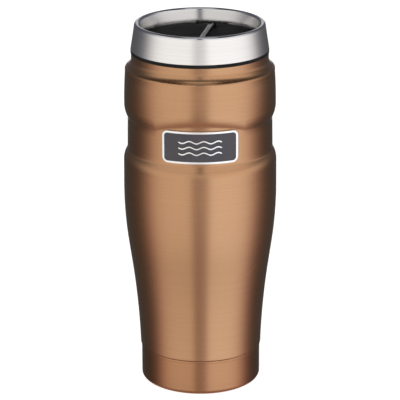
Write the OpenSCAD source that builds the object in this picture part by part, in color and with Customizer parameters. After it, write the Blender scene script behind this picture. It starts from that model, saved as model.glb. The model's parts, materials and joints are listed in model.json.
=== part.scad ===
// Double-walled vacuum tumbler with a screw-on lid and a flip lever over the drink port.
// Z is the centre axis, the base stands on z = 0 and the badge faces -Y. Millimetres.

/* [Body] */
// Height of the whole tumbler with its lid on
total_h = 200.3; // [200:0.1:201.5]
// Radius at the widest part of the body
belly_r = 41.25; // [41.1:0.05:41.6]
// Radius of the body just above the base cup
waist_r = 33.03; // [32.9:0.01:33.2]
// Wall of the outer shell
shell_t = 0.5; // [0.4:0.05:0.7]
// Wall of the inner vessel
liner_t = 0.4; // [0.35:0.05:0.6]

/* [Recess band] */
// Radius of the band that carries the badge
band_r = 38.95; // [38.8:0.05:39.1]
// Lower edge of the band
band_z0 = 131.65; // [131:0.05:132.5]
// Upper edge of the band
band_z1 = 149.6; // [149.2:0.05:150]
// Rise of the arch in the band's upper edge, above the badge
arch_rise = 3.8; // [3:0.1:5]
// Width of that arch
arch_w = 46; // [43:0.5:50]

/* [Badge] */
// Width of the badge
badge_w = 40; // [34:0.5:41]
// Lower edge of the badge
badge_z0 = 133.45; // [133:0.05:134]
// Height of the badge
badge_h = 17.5; // [15:0.5:18]
// Width of the raised border
badge_border = 1.2; // [0.8:0.1:2]
// Radius of the badge corners
badge_corner = 3; // [2:0.5:5]

/* [Base cup] */
// Radius of the base cup, which stands in a cup holder
cup_r = 32.5; // [32.4:0.05:32.6]
// Height of the base cup
cup_h = 19.55; // [18:0.05:19.6]
// Radius of the fillet at the foot
cup_fillet = 2.75; // [2:0.05:3.2]
// Sheet thickness of the base cup
cup_t = 0.5; // [0.4:0.05:0.65]

/* [Lid] */
// Angle that the closed lid stands at, about the centre axis
lid_angle = -9.5; // [-30:0.5:30]
// Height of the lid deck above the base
deck_z = 192.6; // [192.4:0.1:193]
// Radius of the steel collar at its lower edge
collar_r = 36.96; // [36.8:0.02:37.1]
// Sheet thickness of the steel collar
collar_t = 0.6; // [0.5:0.05:0.75]

/* [Thread] */
// Rise of the lid in one full turn
thread_lead = 12; // [12:1:15]
// Number of thread starts
thread_starts = 3; // [3]
// Angle that each ridge covers
thread_span = 150; // [90:10:180]

/* [Flip lever] */
// Distance of the hinge pin behind the centre axis
hinge_y = 23; // [22:0.5:23.5]
// Radius of the hinge pin
pin_r = 0.9; // [0.8:0.05:1]
// Width of the lever bar
lever_w = 7; // [5:0.5:7.5]
// Distance of the drink port in front of the centre axis
port_y = 16.5; // [15:0.5:17]
// Radius of the drink port
port_r = 6; // [5.5:0.1:6]

/* [Hidden] */
$fn = 120;

copper = [0.72, 0.52, 0.38];
steel = [0.78, 0.78, 0.77];
black = [0.06, 0.06, 0.065];
silicone = [0.13, 0.13, 0.14];

// --- body profile ---
seam_z = cup_h + 0.35;            // the shell shows from here up
neck_r = 36.69;                   // outer radius of the copper neck
rim_z = 184.3;                    // top edge of shell and liner
hollow_r = 440;                   // radius of the hollow curve above the base
swell_r = 220;                    // radius of the swelling curve below the belly
slope_low = 0.036;                // outward slope at the seam, mm per mm
slope_max = 0.147;                // outward slope of the straight taper
hollow_z0 = 20;
hollow_z1 = hollow_z0 + (slope_max - slope_low) * hollow_r;
swell_z0 = 78;
swell_z1 = swell_z0 + slope_max * swell_r;
belly_z1 = 125.1;                 // belly ends here and rounds into the band
belly_round = 12.1;
chest_r0 = 40.66;                 // radius of the chest where it starts to round in
chest_round = 15;                 // the chest rounds into the band
chest_turn = acos(1 - (chest_r0 - band_r) / chest_round);
chest_z0 = band_z1 + chest_round * sin(chest_turn);
chest_swell = 260;                // radius of the chest's long curve
shoulder_z = 175.4;
shoulder_r = 40.06;
shoulder_round = 1.5;
shoulder_turn = 60;               // the shoulder turns inward by this angle

// --- inner vessel ---
liner_r = 35.85;                  // outer radius of the straight part, welded inside the neck
vacuum_gap = 3;
liner_floor_z = 8.4;
seat_r = 33.4;                    // inner radius of the bead that carries the lid gasket
seat_z = 165.2;                   // top of the bead's straight stretch

// --- shell spigot inside the base cup ---
spigot_r = 31.55;
spigot_z = 3.2;

// --- lid ---
flange_z0 = rim_z + 0.1;          // black ring between vessel and collar
collar_z0 = 186.05;
collar_slope = 0.155;
lip_r = 1.45;
lip_cz = total_h - lip_r;
lip_cr = collar_r - collar_slope * (lip_cz - collar_z0) - lip_r;
hem_r = 30.5;                     // inner radius of the collar at the deck
skirt_r = 33.9;
skirt_t = 1.8;
skirt_z0 = 164.9;
groove_r = 31.7;                  // the gasket sits on this part of the skirt
ledge_z = 188.4;
deck_r = hem_r - 0.15;
insert_r = hem_r + 0.6;
core_gap = 0.15;                  // play between collar and plastic core
core_top_z = 198.5;

// --- thread ---
female_crest_r = 34.4;
male_crest_r = 34.95;
thread_z0 = 171.5;
thread_step = 5;                  // angle between two sections of a ridge
thread_gap = 0.02;                // each ridge is a solid of its own, this far off its wall
male_root_r = (skirt_r + thread_gap) / cos(thread_step / 2);
female_root_r = liner_r - liner_t - thread_gap;

// --- lever, in the lid's own directions: hinge at the back, drink port in front ---
hinge_z = deck_z + 0.6;
barrel_r = 1.6;
hinge_gap = 0.25;                 // play round the lever's barrel
ear_w = 1.8;
lever_top_z = 197.4;
lever_low_z = deck_z + 0.8;
lever_front_y = -26;
slope_from_y = 6.5;
slope_mid = [15, 195.4];          // the lever's top falls towards the hinge through this point
pad_r = 7.4;
vent_y = 2;
vent_r = 1.2;
tube_low_z = 166;

// Points of an arc in the r-z plane, from angle a0 to angle a1
function arc(r, z, radius, a0, a1, n = 8) =
  [for (i = [0:n]) let (a = a0 + (a1 - a0) * i / n) [r + radius * cos(a), z + radius * sin(a)]];

// Radius of the outer surface between seam and belly
function taper(z) =
  z < hollow_z0 ? waist_r :
  z < hollow_z1 ? waist_r + slope_low * (z - hollow_z0) + pow(z - hollow_z0, 2) / (2 * hollow_r) :
  z < swell_z0 ? taper_low + slope_max * (z - hollow_z1) :
  taper_mid + slope_max * (z - swell_z0) - pow(z - swell_z0, 2) / (2 * swell_r);
taper_low = waist_r + slope_low * (hollow_z1 - hollow_z0) + pow(hollow_z1 - hollow_z0, 2) / (2 * hollow_r);
taper_mid = taper_low + slope_max * (swell_z0 - hollow_z1);

// Outer surface of the shell, moved inward by t, from the seam to the neck
function body_curve(t) =
  let (
    belly_a = asin((band_z0 - belly_z1) / belly_round),
    turn_r = shoulder_r - shoulder_round,
    cove = (turn_r + shoulder_round * cos(shoulder_turn) - neck_r) / (1 - cos(shoulder_turn)),
    cove_z = shoulder_z + (shoulder_round + cove) * sin(shoulder_turn)
  )
  concat(
    [for (z = [hollow_z0:5:swell_z1]) [taper(z) - t, z]],
    [[belly_r - t, swell_z1 + 1]],
    arc(belly_r - 0.1 - belly_round, belly_z1, belly_round - t, 0, belly_a),
    [[band_r - t, band_z0 + 0.15], [band_r - t, band_z1]],
    arc(chest_r0 - chest_round, chest_z0, chest_round - t, -chest_turn, 0),
    [for (z = [chest_z0 + 6:4:shoulder_z - 2]) [chest_r0 - t - pow(z - chest_z0, 2) / (2 * chest_swell), z]],
    arc(turn_r, shoulder_z, shoulder_round - t, 0, shoulder_turn, 6),
    arc(neck_r + cove, cove_z, cove + t, 180 + shoulder_turn, 180, 6)
  );

// Outer radius of the inner vessel at height z, kept clear of the shell
function liner_out(z) = min(liner_r, taper(z) - shell_t - vacuum_gap);

// Arched pocket that lifts the upper edge of the band above the badge, cut back to radius r
module arch_pocket(r, grow) {
  half = arch_w / 2 + grow;
  difference() {
    translate([0, 0, band_z1])
      rotate([90, 0, 0])
        linear_extrude(60)
          polygon([
            [-half, -1],
            for (i = [-6:6]) [half * i / 6, grow + arch_rise * (1 - pow(i / 6, 2))],
            [half, -1]
          ]);
    cylinder(h = total_h, r = r);
  }
}

// Flat plate outline with round corners, centred
module rounded_plate(w, h, r) {
  square([w - 2 * r, h], center = true);
  square([w, h - 2 * r], center = true);
  for (x = [-1, 1], y = [-1, 1])
    translate([x * (w / 2 - r), y * (h / 2 - r)])
      circle(r);
}

// Filled form of the shell, moved inward by t, with the arched pocket cut in
module shell_form(t, low) {
  difference() {
    rotate_extrude()
      polygon(concat(
        [[0, low[0][1]]], low, body_curve(t),
        [[neck_top(t), rim_z - 1.3], [neck_top(t), rim_z + t], [0, rim_z + t]]
      ));
    arch_pocket(band_r - t, t);
  }
}

// Inside the neck the shell is welded to the liner
function neck_top(t) = t == 0 ? neck_r : liner_r;

module outer_shell() {
  color(copper)
    difference() {
      shell_form(0, [[spigot_r, spigot_z], [spigot_r, seam_z - 0.3], [waist_r - 0.25, seam_z - 0.2],
        [waist_r, seam_z + 0.05]]);
      shell_form(shell_t, [[spigot_r - shell_t, spigot_z - 1], [spigot_r - shell_t, seam_z + 0.1],
        [waist_r - shell_t - 0.1, seam_z + 0.15]]);
      cylinder_above_rim();
    }
}

// Cuts everything above the rim
module cylinder_above_rim() {
  translate([0, 0, rim_z])
    cylinder(h = 5, r = belly_r);
}

// Ring of four corners of one thread section, at angle phi along the helix
function thread_ring(phi, r0, r1, w0, w1, z0) =
  let (z = z0 + thread_lead * phi / 360, c = cos(phi), s = sin(phi))
  [[r0 * c, r0 * s, z - w0 / 2], [r1 * c, r1 * s, z - w1 / 2],
   [r1 * c, r1 * s, z + w1 / 2], [r0 * c, r0 * s, z + w0 / 2]];

// One thread ridge, from its root radius r0 and width w0 to its crest r1 and w1
module thread_ridge(r0, r1, w0, w1, z0) {
  steps = ceil(thread_span / thread_step);
  points = [for (i = [0:steps]) each thread_ring(i * thread_span / steps, r0, r1, w0, w1, z0)];
  ends = [[3, 2, 1, 0], [for (j = [0:3]) 4 * steps + j]];
  sides = [for (i = [0:steps - 1], j = [0:3])
    let (a = 4 * i + j, b = 4 * i + (j + 1) % 4) [b, b + 4, a + 4, a]];
  faces = r1 > r0 ? concat(ends, sides) : [for (f = concat(ends, sides)) [for (k = [len(f) - 1:-1:0]) f[k]]];
  polyhedron(points = points, faces = faces, convexity = 4);
}

module thread(r0, r1, w0, w1, z0) {
  for (k = [0:thread_starts - 1])
    rotate(k * 360 / thread_starts)
      thread_ridge(r0, r1, w0, w1, z0);
}

module inner_vessel() {
  floor_round = 6;
  low_r = liner_out(20) - 0.4;
  outside = concat(
    [[0, liner_floor_z]],
    arc(low_r - floor_round, liner_floor_z + floor_round, floor_round, -90, 0),
    [for (z = [20:10:100]) [liner_out(z), z]],
    [[liner_r, seat_z - 4.2], [seat_r + liner_t, seat_z - 2.35], [seat_r + liner_t, seat_z - 0.25],
     [liner_r, seat_z + 1.6], [liner_r, rim_z], [0, rim_z]]
  );
  inside = concat(
    [[0, liner_floor_z + liner_t]],
    arc(low_r - floor_round, liner_floor_z + floor_round, floor_round - liner_t, -90, 0),
    [for (z = [20:10:100]) [liner_out(z) - liner_t, z]],
    [[liner_r - liner_t, seat_z - 3.95], [seat_r, seat_z - 2.1], [seat_r, seat_z],
     [liner_r - liner_t, seat_z + 1.85], [liner_r - liner_t, rim_z + 1], [0, rim_z + 1]]
  );
  color(steel)
    union() {
      rotate_extrude()
        difference() {
          polygon(outside);
          polygon(inside);
        }
      thread(female_root_r, female_crest_r, 2, 0.8, thread_z0);
    }
}

module radiation_foil() {
  foil_t = 0.15;
  gap = 0.25;
  outline = [for (z = [24:12:96]) [liner_out(z) + gap, z]];
  color("#b87333")
    rotate_extrude()
      polygon(concat(
        outline,
        [[liner_r + gap, 100], [liner_r + gap, 158], [liner_r + gap + foil_t, 158], [liner_r + gap + foil_t, 100]],
        [for (i = [len(outline) - 1:-1:0]) outline[i] + [foil_t, 0]]
      ));
}

module getter() {
  color("dimgray")
    translate([12, 0, spigot_z + shell_t])
      cylinder(h = 2.4, r = 4);
}

module outer_bottom() {
  plate_r = spigot_r - shell_t;
  dimple_r = 5;
  rise = 1.2;
  color(steel)
    rotate_extrude()
      polygon([
        [0.6, spigot_z + rise], [dimple_r, spigot_z + rise], [dimple_r + 1, spigot_z], [plate_r, spigot_z],
        [plate_r, spigot_z + 4], [plate_r - shell_t, spigot_z + 4], [plate_r - shell_t, spigot_z + shell_t],
        [dimple_r + 0.7, spigot_z + shell_t], [dimple_r - 0.3, spigot_z + rise + shell_t],
        [0.6, spigot_z + rise + shell_t]
      ]);
}

module vacuum_seal_bead() {
  rise = 1.2;
  dome_r = 4.2;
  color("darkslategray")
    rotate_extrude()
      polygon(concat([[0, spigot_z + rise]], arc(0, spigot_z + dome_r, dome_r, -asin(1 - rise / dome_r), -90, 6)));
}

module base_bond_ring() {
  color("gainsboro")
    rotate_extrude()
      translate([16, 1.7])
        square([7, spigot_z - 1.7]);
}

module base_cup() {
  foot_r = cup_r - cup_fillet;
  dish_r = 24.5;
  dish = 1.7 - cup_t;
  color([0.68, 0.42, 0.29])
    rotate_extrude()
      difference() {
        polygon(concat(
          [[0, dish], [dish_r, dish], [dish_r + 1.4, 0]],
          arc(foot_r, cup_fillet, cup_fillet, -90, 0),
          [[cup_r, cup_h - 0.2], [cup_r - 0.2, cup_h], [0, cup_h]]
        ));
        polygon(concat(
          [[0, 1.7], [dish_r + 0.2, 1.7], [dish_r + 1.6, cup_t]],
          arc(foot_r, cup_fillet, cup_fillet - cup_t, -90, 0),
          [[cup_r - cup_t, cup_h + 1], [0, cup_h + 1]]
        ));
      }
}

// Curved layer of the badge between two radii, w wide, h high and with corner radius r
module badge_layer(r0, r1, w, h, r) {
  intersection() {
    difference() {
      cylinder(h = total_h, r = r1);
      cylinder(h = total_h, r = r0);
    }
    translate([0, 0, badge_z0 + badge_h / 2])
      rotate([90, 0, 0])
        linear_extrude(60)
          rounded_plate(w, h, r);
  }
}

badge_r0 = band_r + 0.15;
badge_r1 = band_r + 0.8;
badge_floor_r = band_r + 0.45;
inlay_w = badge_w - 2 * badge_border;
inlay_h = badge_h - 2 * badge_border;
inlay_corner = badge_corner - badge_border;

module badge_adhesive() {
  color("whitesmoke")
    badge_layer(band_r, badge_r0, badge_w - 1, badge_h - 1, badge_corner - 0.5);
}

module badge_plate() {
  color([0.93, 0.92, 0.9])
    difference() {
      badge_layer(badge_r0, badge_r1, badge_w, badge_h, badge_corner);
      badge_layer(badge_floor_r, badge_r1 + 1, inlay_w, inlay_h, inlay_corner);
    }
}

module badge_inlay() {
  color([0.26, 0.25, 0.26])
    badge_layer(badge_floor_r, badge_r1 - 0.15, inlay_w, inlay_h, inlay_corner);
}

// Turns a lid piece to the angle of the closed lid
module on_lid() {
  rotate(lid_angle)
    children();
}

module lid_gasket() {
  color(silicone)
    rotate_extrude()
      polygon([
        [groove_r + 0.15, 165.1], [33.15, 165.35], [34.1, 166.3], [34.1, 167],
        [33.6, 167.35], [34.1, 167.7], [34, 168], [groove_r + 0.15, 168]
      ]);
}

// Radius of the collar's outer face at height z
function collar_out(z) = collar_r - collar_slope * (z - collar_z0);
// Radius of the collar's inner face at height z
function collar_in(z) =
  z < deck_z ? hem_r : hem_r + (lip_cr - lip_r - hem_r) * (z - deck_z) / (lip_cz - deck_z);

module lid_collar() {
  hem_z = deck_z - 1.6;
  color(steel)
    rotate_extrude()
      polygon(concat(
        [[collar_r - collar_t, collar_z0], [collar_r, collar_z0]],
        arc(lip_cr, lip_cz, lip_r, 0, 180, 16),
        [[hem_r, deck_z], [hem_r, hem_z], [hem_r + collar_t, hem_z], [hem_r + collar_t, deck_z + 0.1]],
        arc(lip_cr, lip_cz, lip_r - collar_t, 180, 0, 12)
      ));
}

module lid_body() {
  flange_r = 36.92;
  out_play = collar_t + core_gap;
  color(black)
    on_lid()
      union() {
        rotate_extrude()
          polygon([
            [groove_r, skirt_z0], [groove_r, 168.15], [skirt_r - 0.3, 168.15], [skirt_r, 168.45],
            [skirt_r, flange_z0], [flange_r, flange_z0], [flange_r, collar_z0],
            [collar_out(collar_z0) - out_play, collar_z0], [collar_out(core_top_z) - out_play, core_top_z],
            [collar_in(core_top_z) + out_play, core_top_z], [hem_r + out_play, deck_z + 0.2],
            [hem_r + out_play, ledge_z], [29.5, ledge_z], [29.5, ledge_z - 2],
            [skirt_r - skirt_t - 0.1, ledge_z - 4.4], [skirt_r - skirt_t - 0.1, 170.5],
            [groove_r - 1.4, 169.4], [groove_r - 1.4, skirt_z0]
          ]);
        thread(male_root_r, male_crest_r, 1.8, 0.7, thread_z0 - 2.3);
      }
}

module tube(y, r, low, high) {
  translate([0, y, low])
    cylinder(h = high - low, r = r);
}

// Round lugs of the hinge on both sides of the lever barrel
module hinge_ears() {
  for (side = [-1, 1])
    translate([side * (lever_w / 2 + hinge_gap + ear_w / 2) - ear_w / 2, hinge_y, hinge_z])
      rotate([90, 0, 90])
        linear_extrude(ear_w) {
          circle(barrel_r);
          translate([-barrel_r, -2])
            square([2 * barrel_r, 2]);
        }
}

module deck_insert() {
  color(black)
    on_lid()
      difference() {
        union() {
          rotate_extrude()
            polygon([
              [0, ledge_z], [insert_r, ledge_z], [insert_r, deck_z - 1.8], [deck_r, deck_z - 1.8],
              [deck_r, deck_z - 0.25], [deck_r - 0.25, deck_z], [0, deck_z]
            ]);
          tube(-port_y, port_r + 1.2, tube_low_z, ledge_z + 1);
          tube(vent_y, vent_r + 1.2, tube_low_z, ledge_z + 1);
          hinge_ears();
        }
        tube(-port_y, port_r, tube_low_z - 1, deck_z + 1);
        tube(vent_y, vent_r, tube_low_z - 1, deck_z + 1);
        hinge_pocket();
        translate([-lever_w, hinge_y, hinge_z])
          rotate([0, 90, 0])
            cylinder(h = 2 * lever_w, r = pin_r);
      }
}

// Pocket in the deck that the lever's barrel turns in
module hinge_pocket() {
  play = barrel_r + 2 * hinge_gap;
  translate([-lever_w / 2 - hinge_gap, hinge_y - play, hinge_z - play])
    cube([lever_w + 2 * hinge_gap, 2 * play, 2 * play]);
}

module lid_lower_cover() {
  sleeve_r = groove_r - 1.45;
  color(black)
    on_lid()
      difference() {
        union() {
          rotate_extrude()
            polygon([
              [0, 163.4], [32.4, 163.4], [32.9, 163.9], [32.9, skirt_z0 - 0.02], [sleeve_r, skirt_z0 - 0.02],
              [sleeve_r, 168.5], [sleeve_r - 1.4, 168.5], [sleeve_r - 1.4, 165.2], [0, 165.2]
            ]);
          tube(-port_y, port_r + 2.4, 165, 168);
          tube(vent_y, vent_r + 2.4, 165, 168);
          tea_hook();
        }
        tube(-port_y, port_r + 1.25, 165.6, 169);
        tube(vent_y, vent_r + 1.25, 165.6, 169);
        tube(-port_y, port_r, 162, 169);
        tube(vent_y, vent_r, 162, 169);
      }
}

// Moulded hook under the lid that a tea bag's string is wound on
module tea_hook() {
  translate([-2, 16, 0])
    rotate([90, 0, 90])
      linear_extrude(4)
        polygon([[-2, 163.6], [-2, 158], [6, 158], [6, 160.2], [4.6, 160.2], [4.6, 159.6], [0, 159.6], [0, 163.6]]);
}

module hinge_pin() {
  half = lever_w / 2 + hinge_gap + ear_w;
  color(steel)
    on_lid()
      translate([-half, hinge_y, hinge_z])
        rotate([0, 90, 0])
          cylinder(h = 2 * half, r = pin_r);
}

module flip_lever() {
  tip_w = lever_w + 3;
  color(black)
    on_lid()
      difference() {
        union() {
          intersection() {
            translate([-15, 0, 0])
              rotate([90, 0, 90])
                linear_extrude(30)
                  polygon([
                    [lever_front_y, lever_low_z + 1.2], [lever_front_y + 2.5, lever_low_z],
                    [hinge_y, lever_low_z], [hinge_y, hinge_z + barrel_r], slope_mid,
                    [slope_from_y, lever_top_z], [lever_front_y + 2, lever_top_z],
                    [lever_front_y, lever_top_z - 1]
                  ]);
            translate([0, 0, deck_z])
              linear_extrude(10)
                polygon([
                  [-tip_w / 2, lever_front_y], [tip_w / 2, lever_front_y], [lever_w / 2, lever_front_y + 6],
                  [lever_w / 2, hinge_y + 1], [-lever_w / 2, hinge_y + 1], [-lever_w / 2, lever_front_y + 6]
                ]);
          }
          translate([-lever_w / 2, hinge_y, hinge_z])
            rotate([0, 90, 0])
              cylinder(h = lever_w, r = barrel_r);
          tube(-port_y, pad_r, lever_low_z, lever_low_z + 1.3);
        }
        translate([-lever_w, hinge_y, hinge_z])
          rotate([0, 90, 0])
            cylinder(h = 2 * lever_w, r = pin_r + 0.05);
      }
}

module port_seal() {
  color(silicone)
    on_lid()
      translate([0, -port_y, 0])
        rotate_extrude()
          polygon([
            [0, lever_low_z], [pad_r - 0.4, lever_low_z], [pad_r - 0.4, deck_z + 0.15], [port_r - 0.4, deck_z + 0.15],
            [port_r - 0.55, deck_z - 1.2], [port_r - 1.2, deck_z - 2], [0, deck_z - 2]
          ]);
}

module vent_seal() {
  color(silicone)
    on_lid()
      translate([0, vent_y, 0])
        rotate_extrude()
          polygon([
            [0, lever_low_z], [vent_r + 1, lever_low_z], [vent_r + 1, deck_z + 0.15], [vent_r - 0.35, deck_z + 0.15],
            [vent_r - 0.6, deck_z - 1], [0, deck_z - 1]
          ]);
}

outer_shell();
inner_vessel();
radiation_foil();
getter();
outer_bottom();
vacuum_seal_bead();
base_bond_ring();
base_cup();
badge_adhesive();
badge_plate();
badge_inlay();
lid_gasket();
lid_body();
deck_insert();
lid_collar();
lid_lower_cover();
hinge_pin();
flip_lever();
port_seal();
vent_seal();
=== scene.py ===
"""Insulated tumbler with a screw-on lid: looks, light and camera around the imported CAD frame."""

import json
import math

import bpy
from mathutils import Matrix, Vector


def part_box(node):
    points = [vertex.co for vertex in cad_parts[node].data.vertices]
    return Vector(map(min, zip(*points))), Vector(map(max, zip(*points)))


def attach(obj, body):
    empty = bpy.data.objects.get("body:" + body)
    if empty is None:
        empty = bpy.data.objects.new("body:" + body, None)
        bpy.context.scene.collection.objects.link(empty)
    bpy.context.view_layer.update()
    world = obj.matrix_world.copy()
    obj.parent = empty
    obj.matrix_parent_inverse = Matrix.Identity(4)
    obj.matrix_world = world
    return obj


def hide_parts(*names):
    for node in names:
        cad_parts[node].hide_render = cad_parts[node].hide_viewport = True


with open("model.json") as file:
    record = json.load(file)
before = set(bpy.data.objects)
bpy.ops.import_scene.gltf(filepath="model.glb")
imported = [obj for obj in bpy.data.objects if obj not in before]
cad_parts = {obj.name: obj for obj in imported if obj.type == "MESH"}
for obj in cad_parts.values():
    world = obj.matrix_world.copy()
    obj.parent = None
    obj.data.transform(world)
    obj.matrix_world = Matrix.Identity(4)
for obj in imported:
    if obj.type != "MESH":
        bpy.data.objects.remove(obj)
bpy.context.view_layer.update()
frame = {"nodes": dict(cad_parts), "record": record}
MM = 0.001

# ---------------------------------------------------------------- sizes, in millimetres


def low_high(node):
    """Lowest and highest corner of a CAD node at rest, in millimetres."""
    return [[c / MM for c in corner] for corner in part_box(node)]


def joint(name):
    return next(j for j in frame["record"]["behaviour"]["joints"] if j["name"] == name)


SHELL_LOW, SHELL_HIGH = low_high("outer_shell")
SPIGOT_Z, RIM_Z, BELLY_R = SHELL_LOW[2], SHELL_HIGH[2], SHELL_HIGH[0]
SPIGOT_R, SHELL_T, WAIST_R, NECK_R, LINER_R = 31.55, 0.5, 33.03, 36.69, 35.85
HOLLOW_Z0, HOLLOW_R = 20.0, 440.0            # hollow curve above the base
SWELL_Z0, SWELL_R = 78.0, 220.0              # swelling curve below the belly
SLOPE_LOW, SLOPE_MAX = 0.036, 0.147
BELLY_Z1, BELLY_ROUND = 125.1, 12.1
BAND_R, BAND_Z0, BAND_Z1 = 38.95, 131.65, 149.6
BAND_TILT = 0.12                             # the band is this much wider below and narrower above
ARCH_RISE, ARCH_W = 3.8, 46.0                # arch in the band's upper edge, above the badge
CHEST_R0, CHEST_ROUND, CHEST_SWELL = 40.66, 15.0, 260.0
SHOULDER_Z, SHOULDER_R, SHOULDER_ROUND, SHOULDER_TURN = 175.4, 40.06, 1.5, 60.0

CUP_HIGH = low_high("base_cup")[1]
CUP_R, CUP_H = CUP_HIGH[0], CUP_HIGH[2]
CUP_FILLET, CUP_T = 2.75, 0.5
SEAM_Z = CUP_H + 0.35                        # the shell shows from here up

PLATE_LOW, PLATE_HIGH = low_high("badge_plate")
BADGE_W, BADGE_H = PLATE_HIGH[0] - PLATE_LOW[0], PLATE_HIGH[2] - PLATE_LOW[2]
BADGE_Z = (PLATE_HIGH[2] + PLATE_LOW[2]) / 2
BADGE_BORDER, BADGE_CORNER = 1.2, 3.0
BADGE_BACK, BADGE_FRONT = BAND_R + 0.15, BAND_R + 0.8

COLLAR_LOW, COLLAR_HIGH = low_high("lid_collar")
COLLAR_R, COLLAR_Z0, TOTAL_H = COLLAR_HIGH[0], COLLAR_LOW[2], COLLAR_HIGH[2]
COLLAR_SLOPE, COLLAR_T, LIP_R, HEM_R, DECK_Z = 0.155, 0.6, 1.45, 30.5, 192.6

HINGE = Vector(joint("lever_flip")["pos_m"]) / MM
LID_ANGLE = -math.atan2(HINGE.x, HINGE.y)
HINGE_Y, HINGE_Z, BARREL_R = math.hypot(HINGE.x, HINGE.y), HINGE.z, 1.6
LEVER_HALF, LEVER_TOP, LEVER_LOW, LEVER_FRONT = 3.5, 197.4, 193.4, -26.0
PORT_Y, PAD_R = 16.5, 7.4

# ---------------------------------------------------------------- outlines


def arc(r, z, radius, a0, a1, n=8):
    """Points of an arc in the r-z plane, angles in degrees."""
    angles = [math.radians(a0 + (a1 - a0) * i / n) for i in range(n + 1)]
    return [(r + radius * math.cos(a), z + radius * math.sin(a)) for a in angles]


def rounded(corners, steps=4):
    """Closed outline through (x, y, radius) corners, each rounded by its own radius."""
    points = []
    for i, (x, y, radius) in enumerate(corners):
        here = Vector((x, y))
        before = Vector(corners[i - 1][:2]) - here
        after = Vector(corners[(i + 1) % len(corners)][:2]) - here
        turn = before.angle(after)
        reach = min(radius / math.tan(turn / 2), before.length * 0.48, after.length * 0.48)
        start, end = here + before.normalized() * reach, here + after.normalized() * reach
        for k in range(steps + 1):
            t = k / steps
            p = start * (1 - t) ** 2 + here * 2 * t * (1 - t) + end * t ** 2
            points.append((p.x, p.y))
    return points


def smoothstep(low, high, value):
    t = min(max((value - low) / (high - low), 0.0), 1.0)
    return t * t * (3 - 2 * t)


# ---------------------------------------------------------------- mesh builders


def new_object(name, vertices, faces, body, replaces=(), sharp=32):
    mesh = bpy.data.meshes.new(name)
    mesh.from_pydata([Vector(v) * MM for v in vertices], [], faces)
    mesh.validate()
    mesh.update()
    mesh.shade_smooth()
    mesh.set_sharp_from_angle(angle=math.radians(sharp))
    piece = bpy.data.objects.new(name, mesh)
    bpy.context.scene.collection.objects.link(piece)
    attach(piece, body)
    if replaces:
        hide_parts(*replaces)
    return piece


def lathe(name, outline, body, replaces, segments, sharp=32):
    """Turns a closed outline, or a function of the angle that gives one, round the Z axis."""
    outline_at = outline if callable(outline) else lambda angle: outline
    vertices, faces = [], []
    for s in range(segments):
        angle = 2 * math.pi * s / segments
        loop = outline_at(angle)
        c, d = math.cos(angle), math.sin(angle)
        vertices += [(r * c, r * d, z) for r, z in loop]
    count = len(vertices) // segments
    for s in range(segments):
        a, b = s * count, (s + 1) % segments * count
        for k in range(count):
            n = (k + 1) % count
            faces.append((a + k, b + k, b + n, a + n))
    return new_object(name, vertices, faces, body, replaces, sharp)


# ---------------------------------------------------------------- materials


class Shader:
    """A new material with a Principled shader and short ways to add nodes to it."""

    def __init__(self, name):
        self.material = bpy.data.materials.new(name)
        self.material.use_nodes = True
        self.tree = self.material.node_tree
        self.bsdf = self.tree.nodes["Principled BSDF"]

    def set(self, **values):
        for key, value in values.items():
            self.bsdf.inputs[key.replace("_", " ")].default_value = value

    def node(self, kind, **inputs):
        made = self.tree.nodes.new(kind)
        for key, value in inputs.items():
            socket = made.inputs[key.replace("_", " ")]
            if isinstance(value, bpy.types.NodeSocket):
                self.link(value, socket)
            else:
                socket.default_value = value
        return made

    def link(self, out, into):
        self.tree.links.new(out, into)

    def noise(self, scale, detail=4.0, roughness=0.55):
        """Noise over the object's own coordinates, with one scale for each axis (per metre)."""
        coordinates = self.node("ShaderNodeTexCoord").outputs["Object"]
        mapping = self.node("ShaderNodeMapping", Vector=coordinates, Scale=scale)
        made = self.node("ShaderNodeTexNoise", Vector=mapping.outputs[0], Scale=1.0, Detail=detail)
        made.inputs["Roughness"].default_value = roughness
        return made.outputs["Fac"]

    def remap(self, value, low, high, from_low=0.3, from_high=0.7):
        made = self.node("ShaderNodeMapRange", Value=value)
        made.inputs["From Min"].default_value, made.inputs["From Max"].default_value = from_low, from_high
        made.inputs["To Min"].default_value, made.inputs["To Max"].default_value = low, high
        return made.outputs["Result"]

    def tint(self, value, dark, light):
        made = self.node("ShaderNodeMix")
        made.data_type = "RGBA"
        self.link(value, made.inputs["Factor"])
        made.inputs[6].default_value = (*dark, 1)
        made.inputs[7].default_value = (*light, 1)
        return made.outputs[2]

    def bump(self, height, strength, distance):
        made = self.node("ShaderNodeBump", Height=height, Strength=strength, Distance=distance)
        self.link(made.outputs["Normal"], self.bsdf.inputs["Normal"])


HIGHLIGHT_TURN = 0.25                        # a quarter turn from the tangent, which runs round the axis
STREAK_SCALE = (5, 5, 1300)                  # per metre: long round the axis, fine along it
CLOUD_SCALE = (22, 22, 30)
BUMP_DEPTH = 0.00006                         # in metres


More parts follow.
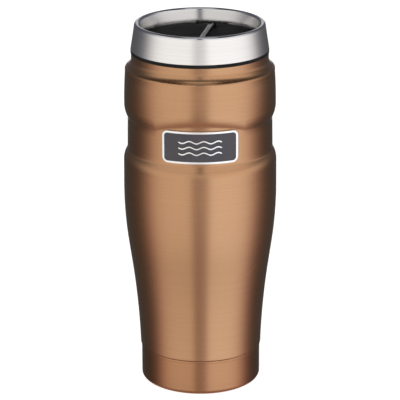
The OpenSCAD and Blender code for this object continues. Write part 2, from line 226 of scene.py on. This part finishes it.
def brushed(name, color, roughness, spread=0.5, coat=0.0, lines=0.05, shade=0.035):
    """Metal with fine brush lines that run round the Z axis."""
    s = Shader(name)
    s.set(Metallic=1.0, Anisotropic=spread, Anisotropic_Rotation=HIGHLIGHT_TURN)
    s.set(Coat_Weight=coat, Coat_Roughness=0.12)
    tangent = s.node("ShaderNodeTangent")
    tangent.direction_type, tangent.axis = "RADIAL", "Z"
    s.link(tangent.outputs[0], s.bsdf.inputs["Tangent"])
    streaks = s.noise(STREAK_SCALE, detail=2.5, roughness=0.55)
    cloud = s.noise(CLOUD_SCALE, detail=3.0)
    dark, light = [tuple(c * k for c in color) for k in (1 - shade, 1 + shade)]
    s.link(s.tint(s.remap(streaks, 0, 1), dark, light), s.bsdf.inputs["Base Color"])
    s.link(s.remap(cloud, roughness - 0.02, roughness + 0.02, 0.2, 0.8), s.bsdf.inputs["Roughness"])
    s.bump(streaks, lines, BUMP_DEPTH)
    return s.material


def plastic(name, color, roughness, grain=0.12, grain_size=0.0004, specular=0.45):
    """Moulded plastic or rubber with a fine spark-eroded grain and faint handling marks."""
    s = Shader(name)
    s.set(Specular_IOR_Level=specular)
    grain_noise = s.noise((1 / grain_size,) * 3, detail=2.0)
    marks = s.noise((90, 90, 90), detail=5.0, roughness=0.6)
    dark = tuple(c * 0.8 for c in color)
    light = tuple(min(1.0, c * 1.35 + 0.002) for c in color)
    s.link(s.tint(s.remap(marks, 0, 1), dark, light), s.bsdf.inputs["Base Color"])
    s.link(s.remap(marks, roughness - 0.06, roughness + 0.08), s.bsdf.inputs["Roughness"])
    s.bump(grain_noise, grain, BUMP_DEPTH)
    return s.material


def dress(node, material):
    """Gives a CAD node that stays visible its material."""
    shown = frame["nodes"][node]
    if not shown.material_slots:
        shown.data.materials.append(material)
    for slot in shown.material_slots:
        slot.material = material


COPPER = brushed("copper_lacquer", (0.485, 0.266, 0.139), 0.27, coat=0.15)
# Darker, more saturated copy of the copper lacquer for the base cup: painted shade for the darker reflection
# low down
CUP_COPPER_SHADED = brushed("base_lacquer", (0.42, 0.207, 0.103), 0.27, coat=0.15)
COLLAR_STEEL = brushed("collar_steel", (0.79, 0.775, 0.755), 0.19)
# Darker copy of the collar steel for the collar's inner wall: painted shade inside the rim
WALL_STEEL_SHADED = brushed("wall_steel_painted_shade", (0.66, 0.65, 0.64), 0.17, spread=0.35)
LIP_STEEL = brushed("lip_steel", (0.66, 0.66, 0.68), 0.1, spread=0.0, lines=0.0, shade=0.01)
STEEL = brushed("steel", (0.60, 0.60, 0.59), 0.28, spread=0.6)
FOIL = brushed("copper_foil", (0.70, 0.40, 0.24), 0.25, spread=0.0)
BLACK = plastic("black_plastic", (0.013, 0.013, 0.0135), 0.58, specular=0.05)
LEVER_BLACK = plastic("lever_plastic", (0.008, 0.008, 0.0085), 0.55, grain=0.05, specular=0.04)
# Light grey for the lever's side faces: a painted highlight in place of the lit edge of the black lever
LEVER_SIDE_HIGHLIGHT = plastic("lever_side_painted_highlight", (0.74, 0.73, 0.76), 0.3, grain=0.03, specular=0.5)
SILICONE = plastic("silicone", (0.03, 0.03, 0.032), 0.62, grain=0.06, specular=0.35)
GLUE = plastic("adhesive", (0.72, 0.72, 0.70), 0.7, grain=0.3)
GETTER = plastic("getter_grey", (0.13, 0.13, 0.135), 0.65, grain=0.6, grain_size=0.0003)
SEAL_GLASS = plastic("seal_glass", (0.03, 0.045, 0.045), 0.18, grain=0.02, specular=0.5)
BADGE_METAL = brushed("badge_metal", (0.93, 0.92, 0.90), 0.38, spread=0.2, lines=0.02)
ENAMEL = plastic("badge_enamel", (0.036, 0.033, 0.039), 0.42, grain=0.05, grain_size=0.0008, specular=0.5)

# ---------------------------------------------------------------- vessel


def taper(z):
    """Radius of the outer surface between seam and belly."""
    hollow_z1 = HOLLOW_Z0 + (SLOPE_MAX - SLOPE_LOW) * HOLLOW_R
    rise = min(z, hollow_z1) - HOLLOW_Z0
    radius = WAIST_R + SLOPE_LOW * rise + rise ** 2 / (2 * HOLLOW_R)
    radius += SLOPE_MAX * max(0.0, z - hollow_z1)
    return radius - max(0.0, z - SWELL_Z0) ** 2 / (2 * SWELL_R)


def body_line(lift):
    """Outer line of the shell from the seam to the rim, with the band's upper edge lifted."""
    belly_turn = math.degrees(math.asin((BAND_Z0 - BELLY_Z1) / BELLY_ROUND))
    chest_turn = math.acos(1 - (CHEST_R0 - BAND_R) / CHEST_ROUND)
    chest_z0 = BAND_Z1 + lift + CHEST_ROUND * math.sin(chest_turn)
    swell_z1 = SWELL_Z0 + SLOPE_MAX * SWELL_R
    line = [(WAIST_R - 0.3, SEAM_Z), (WAIST_R - 0.05, SEAM_Z + 0.1), (WAIST_R + 0.02, SEAM_Z + 0.35)]
    start, steps = SEAM_Z + 1.2, 44
    line += [(taper(z), z) for z in (start + (swell_z1 - start) * i / steps for i in range(steps + 1))]
    line += arc(BELLY_R - 0.12 - BELLY_ROUND, BELLY_Z1, BELLY_ROUND, 0, belly_turn - 5, 9)
    band_low, band_high = BAND_R + BAND_TILT, BAND_R - BAND_TILT
    line += [(band_low + 0.07, BAND_Z0 + 0.15), (band_low, BAND_Z0 + 0.7)]
    band_h = BAND_Z1 + lift - BAND_Z0
    line += [(band_low + (band_high - band_low) * t, BAND_Z0 + band_h * t) for t in (0.2, 0.4, 0.6, 0.8)]
    line += [(band_high, BAND_Z1 + lift - 0.5)]
    line += arc(CHEST_R0 - CHEST_ROUND, chest_z0, CHEST_ROUND, 2 - math.degrees(chest_turn), 0, 10)
    plain_z0 = chest_z0 - lift
    chest_z1 = SHOULDER_Z - 0.6
    for t in (0.2, 0.4, 0.6, 0.8, 1.0):
        z = chest_z0 + (chest_z1 - chest_z0) * t
        line.append((CHEST_R0 - (z - plain_z0) ** 2 / (2 * CHEST_SWELL) * smoothstep(0, 0.4, t), z))
    turn_r = SHOULDER_R - SHOULDER_ROUND
    line += arc(turn_r, SHOULDER_Z, SHOULDER_ROUND, 0, SHOULDER_TURN, 8)
    cos_turn, sin_turn = math.cos(math.radians(SHOULDER_TURN)), math.sin(math.radians(SHOULDER_TURN))
    cove = (turn_r + SHOULDER_ROUND * cos_turn - NECK_R) / (1 - cos_turn)
    cove_z = SHOULDER_Z + (SHOULDER_ROUND + cove) * sin_turn
    line += arc(NECK_R + cove, cove_z, cove, 180 + SHOULDER_TURN, 180, 8)
    line += [(NECK_R, RIM_Z - 0.15), (NECK_R - 0.15, RIM_Z)]
    return line


def shell_outline(angle):
    """Closed section of the shell's sheet at an angle round the Z axis; the badge is at -90 degrees."""
    from_front = abs((angle + 1.5 * math.pi) % (2 * math.pi) - math.pi)
    across = from_front / math.asin(ARCH_W / 2 / BAND_R)
    outside = body_line(ARCH_RISE * max(0.0, 1 - across ** 2))
    inside = [(r - SHELL_T, z) for r, z in outside if SEAM_Z + 1 < z < RIM_Z - 2.3]
    spigot = [(SPIGOT_R, SPIGOT_Z), (SPIGOT_R, SEAM_Z - 0.35), (SPIGOT_R + 0.3, SEAM_Z - 0.1)]
    spigot_in = SPIGOT_R - SHELL_T
    lower = [(WAIST_R - SHELL_T, SEAM_Z + 0.6), (spigot_in, SEAM_Z + 0.2), (spigot_in, SPIGOT_Z)]
    return spigot + outside + [(LINER_R, RIM_Z), (LINER_R, RIM_Z - 1.3)] + inside[::-1] + lower


shell = lathe("shell_skin", shell_outline, "vessel", ["outer_shell"], segments=360, sharp=40)
shell.data.materials.append(COPPER)


def cup_outline():
    """Closed section of the base cup, with a dished underside and a fine groove below its upper edge."""
    foot_r = CUP_R - CUP_FILLET
    dish, dish_r, floor = 1.7 - CUP_T, 24.5, 1.7
    outside = [(0.01, dish), (dish_r - 1, dish), (dish_r + 0.2, dish - 0.15)]
    outside += [(dish_r + 1.2, 0.15), (dish_r + 2, 0)]
    outside += arc(foot_r, CUP_FILLET, CUP_FILLET, -90, 0, 10)
    outside += [(CUP_R, 8), (CUP_R, 14)]
    outside += [(CUP_R, CUP_H - 1.4), (CUP_R - 0.1, CUP_H - 1.25), (CUP_R, CUP_H - 1.1)]
    outside += [(CUP_R, CUP_H - 0.3), (CUP_R - 0.07, CUP_H - 0.08), (CUP_R - 0.22, CUP_H)]
    inside = [(CUP_R - CUP_T + 0.05, CUP_H), (CUP_R - CUP_T, CUP_H - 0.1)]
    inside += arc(foot_r, CUP_FILLET, CUP_FILLET - CUP_T, 0, -90, 8)
    inside += [(dish_r + 1.6, CUP_T), (dish_r + 0.2, floor), (0.01, floor)]
    return outside + inside


cup = lathe("base_cup_skin", cup_outline(), "vessel", ["base_cup"], segments=256)
# The base cup takes the copper's darker copy: painted shade
cup.data.materials.append(CUP_COPPER_SHADED)

# ---------------------------------------------------------------- badge


def plate_ring(inset, count):
    """Outline of the badge, moved inward by inset, as points of its flat shape."""
    w, h = BADGE_W / 2 - inset, BADGE_H / 2 - inset
    corner = max(BADGE_CORNER - inset, 0.4)
    straight_x, straight_y = 2 * (w - corner), 2 * (h - corner)
    legs = [(straight_x, (-w + corner, -h), (1, 0)), (straight_y, (w, -h + corner), (0, 1)),
            (straight_x, (w - corner, h), (-1, 0)), (straight_y, (-w, h - corner), (0, -1))]
    points = []
    per_leg = count // 4
    for length, start, step in legs:
        bends = per_leg // 3
        lines = per_leg - bends
        sx, sy = start
        for i in range(lines):
            t = i / lines * length
            points.append((sx + step[0] * t, sy + step[1] * t))
        ex, ey = sx + step[0] * length, sy + step[1] * length
        cx, cy = ex - step[1] * corner, ey + step[0] * corner
        base = math.atan2(ey - cy, ex - cx)
        for i in range(bends):
            a = base + math.pi / 2 * i / bends
            points.append((cx + corner * math.cos(a), cy + corner * math.sin(a)))
    return points


def on_band(x, y, radius):
    """Wraps a flat badge point onto the band at a radius, facing -Y."""
    return (x, -math.sqrt(radius ** 2 - x ** 2), BADGE_Z + y)


def badge_part(name, rings, material, node):
    """Closed frame round the badge; rings are the (inset, radius) points of its section, in order."""
    count = 144
    vertices, faces = [], []
    for inset, radius in rings:
        vertices += [on_band(x, y, radius) for x, y in plate_ring(inset, count)]
    size = len(plate_ring(0, count))
    for k in range(len(rings)):
        a, b = k * size, (k + 1) % len(rings) * size
        for i in range(size):
            j = (i + 1) % size
            faces.append((a + i, a + j, b + j, b + i))
    piece = new_object(name, vertices, faces, "vessel", [node], sharp=50)
    piece.data.materials.append(material)


def inlay_grid(radius_front, radius_back):
    """Face of the inlay as rows of points between its left and right edge, front and back."""
    inset = BADGE_BORDER
    w, h, corner = BADGE_W / 2 - inset, BADGE_H / 2 - inset, BADGE_CORNER - inset
    columns, rows = 60, 28
    vertices, faces = [], []
    for radius in (radius_front, radius_back):
        for j in range(rows + 1):
            y = -h * math.cos(math.pi * j / rows)
            over = max(0.0, abs(y) - (h - corner))
            half = w - corner + math.sqrt(max(0.0, corner ** 2 - over ** 2))
            vertices += [on_band(half * (2 * i / columns - 1), y, radius) for i in range(columns + 1)]
    row, layer = columns + 1, (rows + 1) * (columns + 1)
    for j in range(rows):
        for i in range(columns):
            a = j * row + i
            faces.append((a, a + 1, a + row + 1, a + row))
            faces.append((layer + a, layer + a + row, layer + a + row + 1, layer + a + 1))
    edge = list(range(row)) + [j * row + columns for j in range(1, rows + 1)]
    edge += [rows * row + i for i in range(columns - 1, -1, -1)] + [j * row for j in range(rows - 1, 0, -1)]
    for k, a in enumerate(edge):
        b = edge[(k + 1) % len(edge)]
        faces.append((a, layer + a, layer + b, b))
    return vertices, faces


frame_section = [(0.0, BADGE_BACK), (0.0, BADGE_FRONT - 0.14)]
frame_section += [(0.05, BADGE_FRONT - 0.05), (0.16, BADGE_FRONT)]
frame_section += [(BADGE_BORDER - 0.2, BADGE_FRONT), (BADGE_BORDER - 0.07, BADGE_FRONT - 0.04)]
frame_section += [(BADGE_BORDER, BADGE_FRONT - 0.12), (BADGE_BORDER, BADGE_BACK)]
badge_part("badge_frame", frame_section, BADGE_METAL, "badge_plate")
inlay_vertices, inlay_faces = inlay_grid(BADGE_FRONT - 0.18, BAND_R + 0.2)
inlay = new_object("badge_field", inlay_vertices, inlay_faces, "vessel", ["badge_inlay"], sharp=50)
inlay.data.materials.append(ENAMEL)

RIPPLE_ROWS = (-3.1, 0.0, 3.1)               # heights of the wavy lines above the badge's middle
RIPPLE_LENGTH, RIPPLE_HALF, RIPPLE_WAVE, RIPPLE_SWING = 23.0, 0.38, 7.6, 0.62
RIPPLE_EDGE = 0.06                           # bevel along each side of a line


def ripple(y0, radius_back, radius_front):
    """One raised wavy line of the badge's motif, as a closed strip round the band."""
    steps = 72
    vertices, faces = [], []
    for i in range(steps + 1):
        x = RIPPLE_LENGTH * (i / steps - 0.5)
        y = y0 + RIPPLE_SWING * math.sin(2 * math.pi * x / RIPPLE_WAVE)
        end = min(1.0, math.sqrt(max(0.0, 1 - (abs(x) / (RIPPLE_LENGTH / 2)) ** 24)) + 0.25)
        low, high = y - RIPPLE_HALF * end, y + RIPPLE_HALF * end
        vertices += [on_band(x, y_back, radius_back) for y_back in (low, high)]
        vertices += [on_band(x, y_front, radius_front) for y_front in (high - RIPPLE_EDGE, low + RIPPLE_EDGE)]
    for i in range(steps):
        for k in range(4):
            a, b = 4 * i + k, 4 * i + (k + 1) % 4
            faces.append((a, a + 4, b + 4, b))
    faces += [(0, 1, 2, 3), (4 * steps + 3, 4 * steps + 2, 4 * steps + 1, 4 * steps)]
    return vertices, faces


motif_vertices, motif_faces = [], []
for row in RIPPLE_ROWS:
    strip_vertices, strip_faces = ripple(row, BADGE_FRONT - 0.3, BADGE_FRONT)
    motif_faces += [tuple(len(motif_vertices) + i for i in face) for face in strip_faces]
    motif_vertices += strip_vertices
motif = new_object("badge_ripples", motif_vertices, motif_faces, "vessel", sharp=50)
motif.data.materials.append(BADGE_METAL)

# ---------------------------------------------------------------- lid


LIP_ZONE = 0.85                              # share of the lip's radius, from its top, with its own polish
LIP_INDEX, SHADED_WALL_INDEX = 1, 2


def collar_outline():
    """Closed section of the collar: outer wall, rolled lip and slanted inner wall down to its hem."""
    lip_z = TOTAL_H - LIP_R
    lip_c = COLLAR_R - COLLAR_SLOPE * (lip_z - COLLAR_Z0) - LIP_R
    outside = [(COLLAR_R - COLLAR_T, COLLAR_Z0), (COLLAR_R - 0.12, COLLAR_Z0)]
    outside += [(COLLAR_R - 0.03, COLLAR_Z0 + 0.12)]
    outside += [(COLLAR_R - COLLAR_SLOPE * dz, COLLAR_Z0 + dz) for dz in (0.5, 3, 6, 9, 12)]
    outside += arc(lip_c, lip_z, LIP_R, 8, 170, 28)
    outside += [(HEM_R + 0.8, DECK_Z + 3), (HEM_R, DECK_Z + 0.1), (HEM_R, DECK_Z - 1.6)]
    inside = [(HEM_R + COLLAR_T, DECK_Z - 1.6), (HEM_R + COLLAR_T, DECK_Z + 0.1)]
    inside += arc(lip_c, lip_z, LIP_R - COLLAR_T, 170, 8, 12)
    return outside + inside


collar = lathe("collar_skin", collar_outline(), "lid", ["lid_collar"], segments=360)
collar.data.materials.append(COLLAR_STEEL)
collar.data.materials.append(LIP_STEEL)
collar.data.materials.append(WALL_STEEL_SHADED)
for face in collar.data.polygons:
    if face.center.z / MM > TOTAL_H - LIP_R * LIP_ZONE:
        face.material_index = LIP_INDEX
    # Faces that look inward take the darker steel: painted shade on the inner wall
    elif face.normal.dot(Vector((face.center.x, face.center.y, 0))) < 0:
        face.material_index = SHADED_WALL_INDEX


def on_lid(point):
    """Turns a point of the lid's own directions to the angle of the closed lid."""
    return Matrix.Rotation(LID_ANGLE, 3, "Z") @ Vector(point)


def lever_top(y):
    """Height of the lever's top face: level, then falling to the barrel of the hinge."""
    drop = [(6.5, LEVER_TOP), (15.0, 195.4), (HINGE_Y - 1.2, HINGE_Z + BARREL_R - 0.25)]
    if y < drop[0][0]:
        return LEVER_TOP
    (y0, z0), (y1, z1) = drop[:2] if y < drop[1][0] else drop[1:]
    return z0 + (z1 - z0) * (y - y0) / (y1 - y0)


def lever_mesh():
    """Lever bar with its finger tip and hinge barrel as stacked cross-sections, and its round pad."""
    tip = [(0.0, 4.0, 1.3, 1.5), (0.4, 4.4, 0.9, 1.0), (1.4, 4.75, 0.35, 0.35), (3.0, 4.6, 0.0, 0.05),
           (5.0, 3.8, 0.0, 0.0)]
    stations = [(LEVER_FRONT + dy, half, LEVER_LOW + up, LEVER_TOP - down) for dy, half, up, down in tip]
    body = (-19.5, -12.0, -4.0, 3.0, 5.9, 6.5, 7.3, 11.0, 14.4, 15.0, 15.7, 19.0, HINGE_Y - 1.7)
    stations += [(y, LEVER_HALF, LEVER_LOW, lever_top(y)) for y in body]
    for turn in (-48, -30, -15, 0, 15, 30, 50, 70, 84):
        rise = BARREL_R * math.cos(math.radians(turn))
        barrel_y = HINGE_Y + BARREL_R * math.sin(math.radians(turn))
        stations.append((barrel_y, LEVER_HALF, HINGE_Z - rise, HINGE_Z + rise))
    sections = []
    for y, half, low, high in stations:
        edge = min(0.5, (high - low) * 0.35)
        ring = rounded([(-half, low, 0.3), (half, low, 0.3), (half, high, edge), (-half, high, edge)], 4)
        sections.append([on_lid((x, y, z)) for x, z in ring])
    size = len(sections[0])
    vertices = [v for ring in sections for v in ring]
    faces = []
    for k in range(len(sections) - 1):
        for i in range(size):
            j = (i + 1) % size
            a, b = k * size, (k + 1) * size
            faces.append((a + i, a + j, b + j, b + i))
    faces.append(tuple(range(size - 1, -1, -1)))
    last = (len(sections) - 1) * size
    faces.append(tuple(last + i for i in range(size)))
    pad_line = [(0.01, LEVER_LOW), (PAD_R - 0.2, LEVER_LOW)]
    pad_line += [(PAD_R, LEVER_LOW + 0.2), (PAD_R, LEVER_LOW + 0.85)]
    pad_line += arc(PAD_R - 0.45, LEVER_LOW + 0.85, 0.45, 0, 90, 5) + [(0.01, LEVER_LOW + 1.3)]
    turns = 64
    first = len(vertices)
    for t in range(turns):
        a = 2 * math.pi * t / turns
        vertices += [on_lid((r * math.cos(a), r * math.sin(a) - PORT_Y, z)) for r, z in pad_line]
    rows = len(pad_line)
    for t in range(turns):
        for k in range(rows):
            a, b, n = first + t * rows, first + (t + 1) % turns * rows, (k + 1) % rows
            faces.append((a + k, b + k, b + n, a + n))
    return vertices, faces


lever_vertices, lever_faces = lever_mesh()
lever = new_object("lever_bar", lever_vertices, lever_faces, "lever", ["flip_lever"], sharp=28)
lever.data.materials.append(LEVER_BLACK)
lever.data.materials.append(LEVER_SIDE_HIGHLIGHT)
side_way = on_lid((1, 0, 0))
HIGHLIGHT_SIDE_INDEX = 1
HIGHLIGHT_FACING, HIGHLIGHT_DEPTH = 0.8, 0.3           # a face painted light as a highlight looks this squarely sideways, this near the side
TIP_LENGTH = 5                               # the finger tip stays black, with no painted highlight
# The side faces get the light grey: a painted highlight, not a trim of another colour
for face in lever.data.polygons:
    middle = Matrix.Rotation(-LID_ANGLE, 3, "Z") @ face.center / MM
    faces_sideways = abs(face.normal.dot(side_way)) > HIGHLIGHT_FACING
    on_side = abs(middle.x) > LEVER_HALF - HIGHLIGHT_DEPTH
    if faces_sideways and on_side and middle.y > LEVER_FRONT + TIP_LENGTH:
        face.material_index = HIGHLIGHT_SIDE_INDEX

# ---------------------------------------------------------------- CAD nodes that stay visible

for node, material in {
    "inner_vessel": STEEL, "radiation_foil": FOIL, "getter": GETTER, "outer_bottom": STEEL,
    "vacuum_seal_bead": SEAL_GLASS, "base_bond_ring": GLUE, "badge_adhesive": GLUE,
    "lid_gasket": SILICONE, "lid_body": BLACK, "deck_insert": BLACK, "lid_lower_cover": BLACK,
    "hinge_pin": STEEL, "port_seal": SILICONE, "vent_seal": SILICONE,
}.items():
    dress(node, material)

# ---------------------------------------------------------------- studio


def emitter(name, size, power, location, target):
    """Soft rectangular light that faces a target point."""
    light = bpy.data.lights.new(name, "AREA")
    light.shape = "RECTANGLE"
    light.size, light.size_y = size
    light.energy = power
    lamp = bpy.data.objects.new(name, light)
    bpy.context.scene.collection.objects.link(lamp)
    lamp.location = location
    lamp.rotation_euler = (Vector(target) - Vector(location)).to_track_quat("-Z", "Y").to_euler()


def plane(name, half, z, material):
    """Level square at a height, as a staged piece."""
    mesh = bpy.data.meshes.new(name)
    corners = [(-half, -half, z), (half, -half, z), (half, half, z), (-half, half, z)]
    mesh.from_pydata(corners, [], [(0, 1, 2, 3)])
    made = bpy.data.objects.new(name, mesh)
    bpy.context.scene.collection.objects.link(made)
    mesh.materials.append(material)
    return made


TENT_R, TENT_LOW, TENT_HIGH = 1.0, -1.0, 1.3   # in metres
TENT_DARK = 0.08                             # glow of the wall outside the soft boxes
TENT_BOTTOM = (0.52, 0.37, 0.35)             # glow of the disc under the floor, and of the wall's foot
DARK_RISE = (0.35, 0.38, 0.6)                # share that the dark wall gains above the low zone

# Pairs of heights in metres, over which one zone of the wall fades into the next.
LOW_ZONE, DEEP_ZONE, HIGH_ZONE = (-0.12, 0.17), (-0.8, -0.3), (0.27, 0.42)
MIDDLE_END, BOX_TOP, FOOT_ZONE = (0.5, 0.7), (1.15, 1.3), (-0.98, -0.7)
REAR_DIMS, REAR_TOP = (0.0, 0.15), (0.55, 0.75)

# Pairs of angles in degrees from the front: where the warm edge ends, and where the rear light starts.
WARM_END, REAR_START = (112, 140), (164, 170)

GAP_HALF, GAP_NARROWS = 13, 7.5              # half the gap's width in degrees, and its loss high up
GAP_DEPTH, GAP_DEPTH_LOW, GAP_DEPTH_HIGH = 0.27, 0.31, 0.65
MIDDLE_DIM = 0.2
WARM_EDGE, WARM_GAP = 0.42, 0.16
REAR_LEVEL, REAR_DROP = 0.9, 0.45

LEFT_BOX = {
    "power": 1.08, "power_low": 0.05, "power_deep": 0.27,
    "edge": 91, "edge_low": 10, "edge_middle": 10, "soft": 9.0,
    "colour": (1.0, 0.98, 0.945), "colour_low": (0.0, 0.03, 0.055),
}
RIGHT_BOX = {
    "power": 1.17, "power_low": 0.18, "power_deep": 0.18,
    "edge": 102, "edge_low": 16, "edge_middle": 18, "soft": 9.5,
    "colour": (1.0, 0.975, 0.96), "colour_low": (0.0, 0.10, 0.18),
}


def tent_glow(azimuth, z):
    """Colour of the light tent: two soft boxes with a gap between them, and a narrow light behind.

    The azimuth is in degrees from the front, positive to the right; z is in metres. The gap is
    narrower high up, and darker both low and high up. The wall's foot fades into the disc's colour.
    """
    side = abs(azimuth)
    low = 1 - smoothstep(*LOW_ZONE, z)
    deep = 1 - smoothstep(*DEEP_ZONE, z)
    high = smoothstep(*HIGH_ZONE, z)
    middle = high * (1 - smoothstep(*MIDDLE_END, z))
    lamp = LEFT_BOX if azimuth < 0 else RIGHT_BOX
    power = lamp["power"] + lamp["power_low"] * low - lamp["power_deep"] * deep
    edge = lamp["edge"] - lamp["edge_low"] * low - lamp["edge_middle"] * middle
    colour = [c + gain * low for c, gain in zip(lamp["colour"], lamp["colour_low"])]
    box = (1 - smoothstep(*BOX_TOP, z)) * (1 - MIDDLE_DIM * middle)
    box /= 1 + math.exp((side - edge) / lamp["soft"])
    gap = math.exp(-(side / (GAP_HALF - GAP_NARROWS * high)) ** 4)
    gap_depth = GAP_DEPTH + GAP_DEPTH_LOW * low + GAP_DEPTH_HIGH * high
    level = (power - TENT_DARK) * box * (1 - gap * gap_depth)
    warm = low * (WARM_EDGE * (1 - box) * (1 - smoothstep(*WARM_END, side)) + WARM_GAP * gap)
    rear = smoothstep(*REAR_START, side) * (REAR_LEVEL - REAR_DROP * smoothstep(*REAR_DIMS, z))
    rear *= 1 - smoothstep(*REAR_TOP, z)
    dark = [TENT_DARK * (1.0 + gain * (1 - low)) for gain in DARK_RISE]
    tint = (colour[0], colour[1] * (1 - warm), colour[2] * (1 - warm))
    wall = [d + level * c + rear for d, c in zip(dark, tint)]
    foot = 1 - smoothstep(*FOOT_ZONE, z)
    return [a * (1 - foot) + b * foot for a, b in zip(wall, TENT_BOTTOM)]


def light_tent():
    """Round wall of light about the object, closed by a disc at its foot, which the camera doesn't see."""
    columns, rows = 180, 42
    mesh = bpy.data.meshes.new("light_tent")
    vertices, glow = [], []
    for j in range(rows + 1):
        z = TENT_LOW + (TENT_HIGH - TENT_LOW) * j / rows
        for i in range(columns):
            azimuth = 360 * i / columns - 180
            a = math.radians(azimuth)
            vertices.append((TENT_R * math.sin(a), -TENT_R * math.cos(a), z))
            glow.append(tent_glow(azimuth, z))
    faces = [(j * columns + i, j * columns + (i + 1) % columns, (j + 1) * columns + (i + 1) % columns,
              (j + 1) * columns + i) for j in range(rows) for i in range(columns)]
    centre = len(vertices)
    vertices.append((0, 0, TENT_LOW))
    glow.append(TENT_BOTTOM)
    faces += [(centre, (i + 1) % columns, i) for i in range(columns)]
    mesh.from_pydata(vertices, [], faces)
    colours = mesh.color_attributes.new("glow", "FLOAT_COLOR", "POINT")
    for point, colour in zip(colours.data, glow):
        point.color = (*colour, 1)
    tent = bpy.data.objects.new("light_tent", mesh)
    bpy.context.scene.collection.objects.link(tent)
    shader = Shader("tent_light")
    shader.set(Base_Color=(0, 0, 0, 1), Specular_IOR_Level=0.0, Emission_Strength=1.0)
    attribute = shader.node("ShaderNodeAttribute")
    attribute.attribute_name = "glow"
    shader.link(attribute.outputs["Color"], shader.bsdf.inputs["Emission Color"])
    mesh.materials.append(shader.material)
    tent.visible_camera = False
    tent.visible_shadow = False


FLOOR_HALF, FLOOR_Z = 4.0, -0.0002           # in metres, just below the foot ring
FLOOR_GLOW, WORLD_GLOW = 0.8, 0.09
PANEL_SIDE, PANEL_RADIANCE = 0.8, 0.85
PANEL_PLACE, PANEL_TARGET = (0, -0.1, 1.7), (0, 0, 0.2)


def studio():
    """White floor, faint world light, light tent and a panel overhead."""
    floor_shader = Shader("floor_white")
    floor_shader.set(Base_Color=(0.93, 0.93, 0.93, 1), Roughness=0.9, Specular_IOR_Level=0.1)
    floor_shader.set(Emission_Color=(1, 1, 1, 1), Emission_Strength=FLOOR_GLOW)
    floor = plane("floor", FLOOR_HALF, FLOOR_Z, floor_shader.material)
    floor.visible_glossy = False
    floor.visible_shadow = False
    world = bpy.data.worlds.new("studio")
    bpy.context.scene.world = world
    world.use_nodes = True
    world.node_tree.nodes["Background"].inputs["Color"].default_value = (0.95, 0.97, 1.0, 1)
    world.node_tree.nodes["Background"].inputs["Strength"].default_value = WORLD_GLOW
    light_tent()
    power = PANEL_RADIANCE * math.pi * PANEL_SIDE ** 2
    emitter("top_panel", (PANEL_SIDE, PANEL_SIDE), power, PANEL_PLACE, PANEL_TARGET)


SENSOR_WIDTH, LENS = 36, 203.57              # in millimetres
SHIFT_X, SHIFT_Y = -0.00125, 0.00125
CAMERA_DOWN, CAMERA_ROLL = 18.176, -0.155    # in degrees
CAMERA_PLACE = (0.00012, -1.16673, 0.4838)   # in metres
FAR_END = 20


def camera():
    """Long lens in front of the tumbler and a little above it."""
    data = bpy.data.cameras.new("camera")
    data.sensor_width = SENSOR_WIDTH
    data.lens = LENS
    data.shift_x, data.shift_y = SHIFT_X, SHIFT_Y
    data.clip_end = FAR_END
    made = bpy.data.objects.new("camera", data)
    bpy.context.scene.collection.objects.link(made)
    down = Matrix.Rotation(math.radians(90 - CAMERA_DOWN), 4, "X")
    roll = Matrix.Rotation(math.radians(CAMERA_ROLL), 4, "Z")
    made.matrix_world = Matrix.Translation(CAMERA_PLACE) @ (down @ roll)
    bpy.context.scene.camera = made


studio()
camera()
bpy.context.scene.view_settings.view_transform = "Standard"
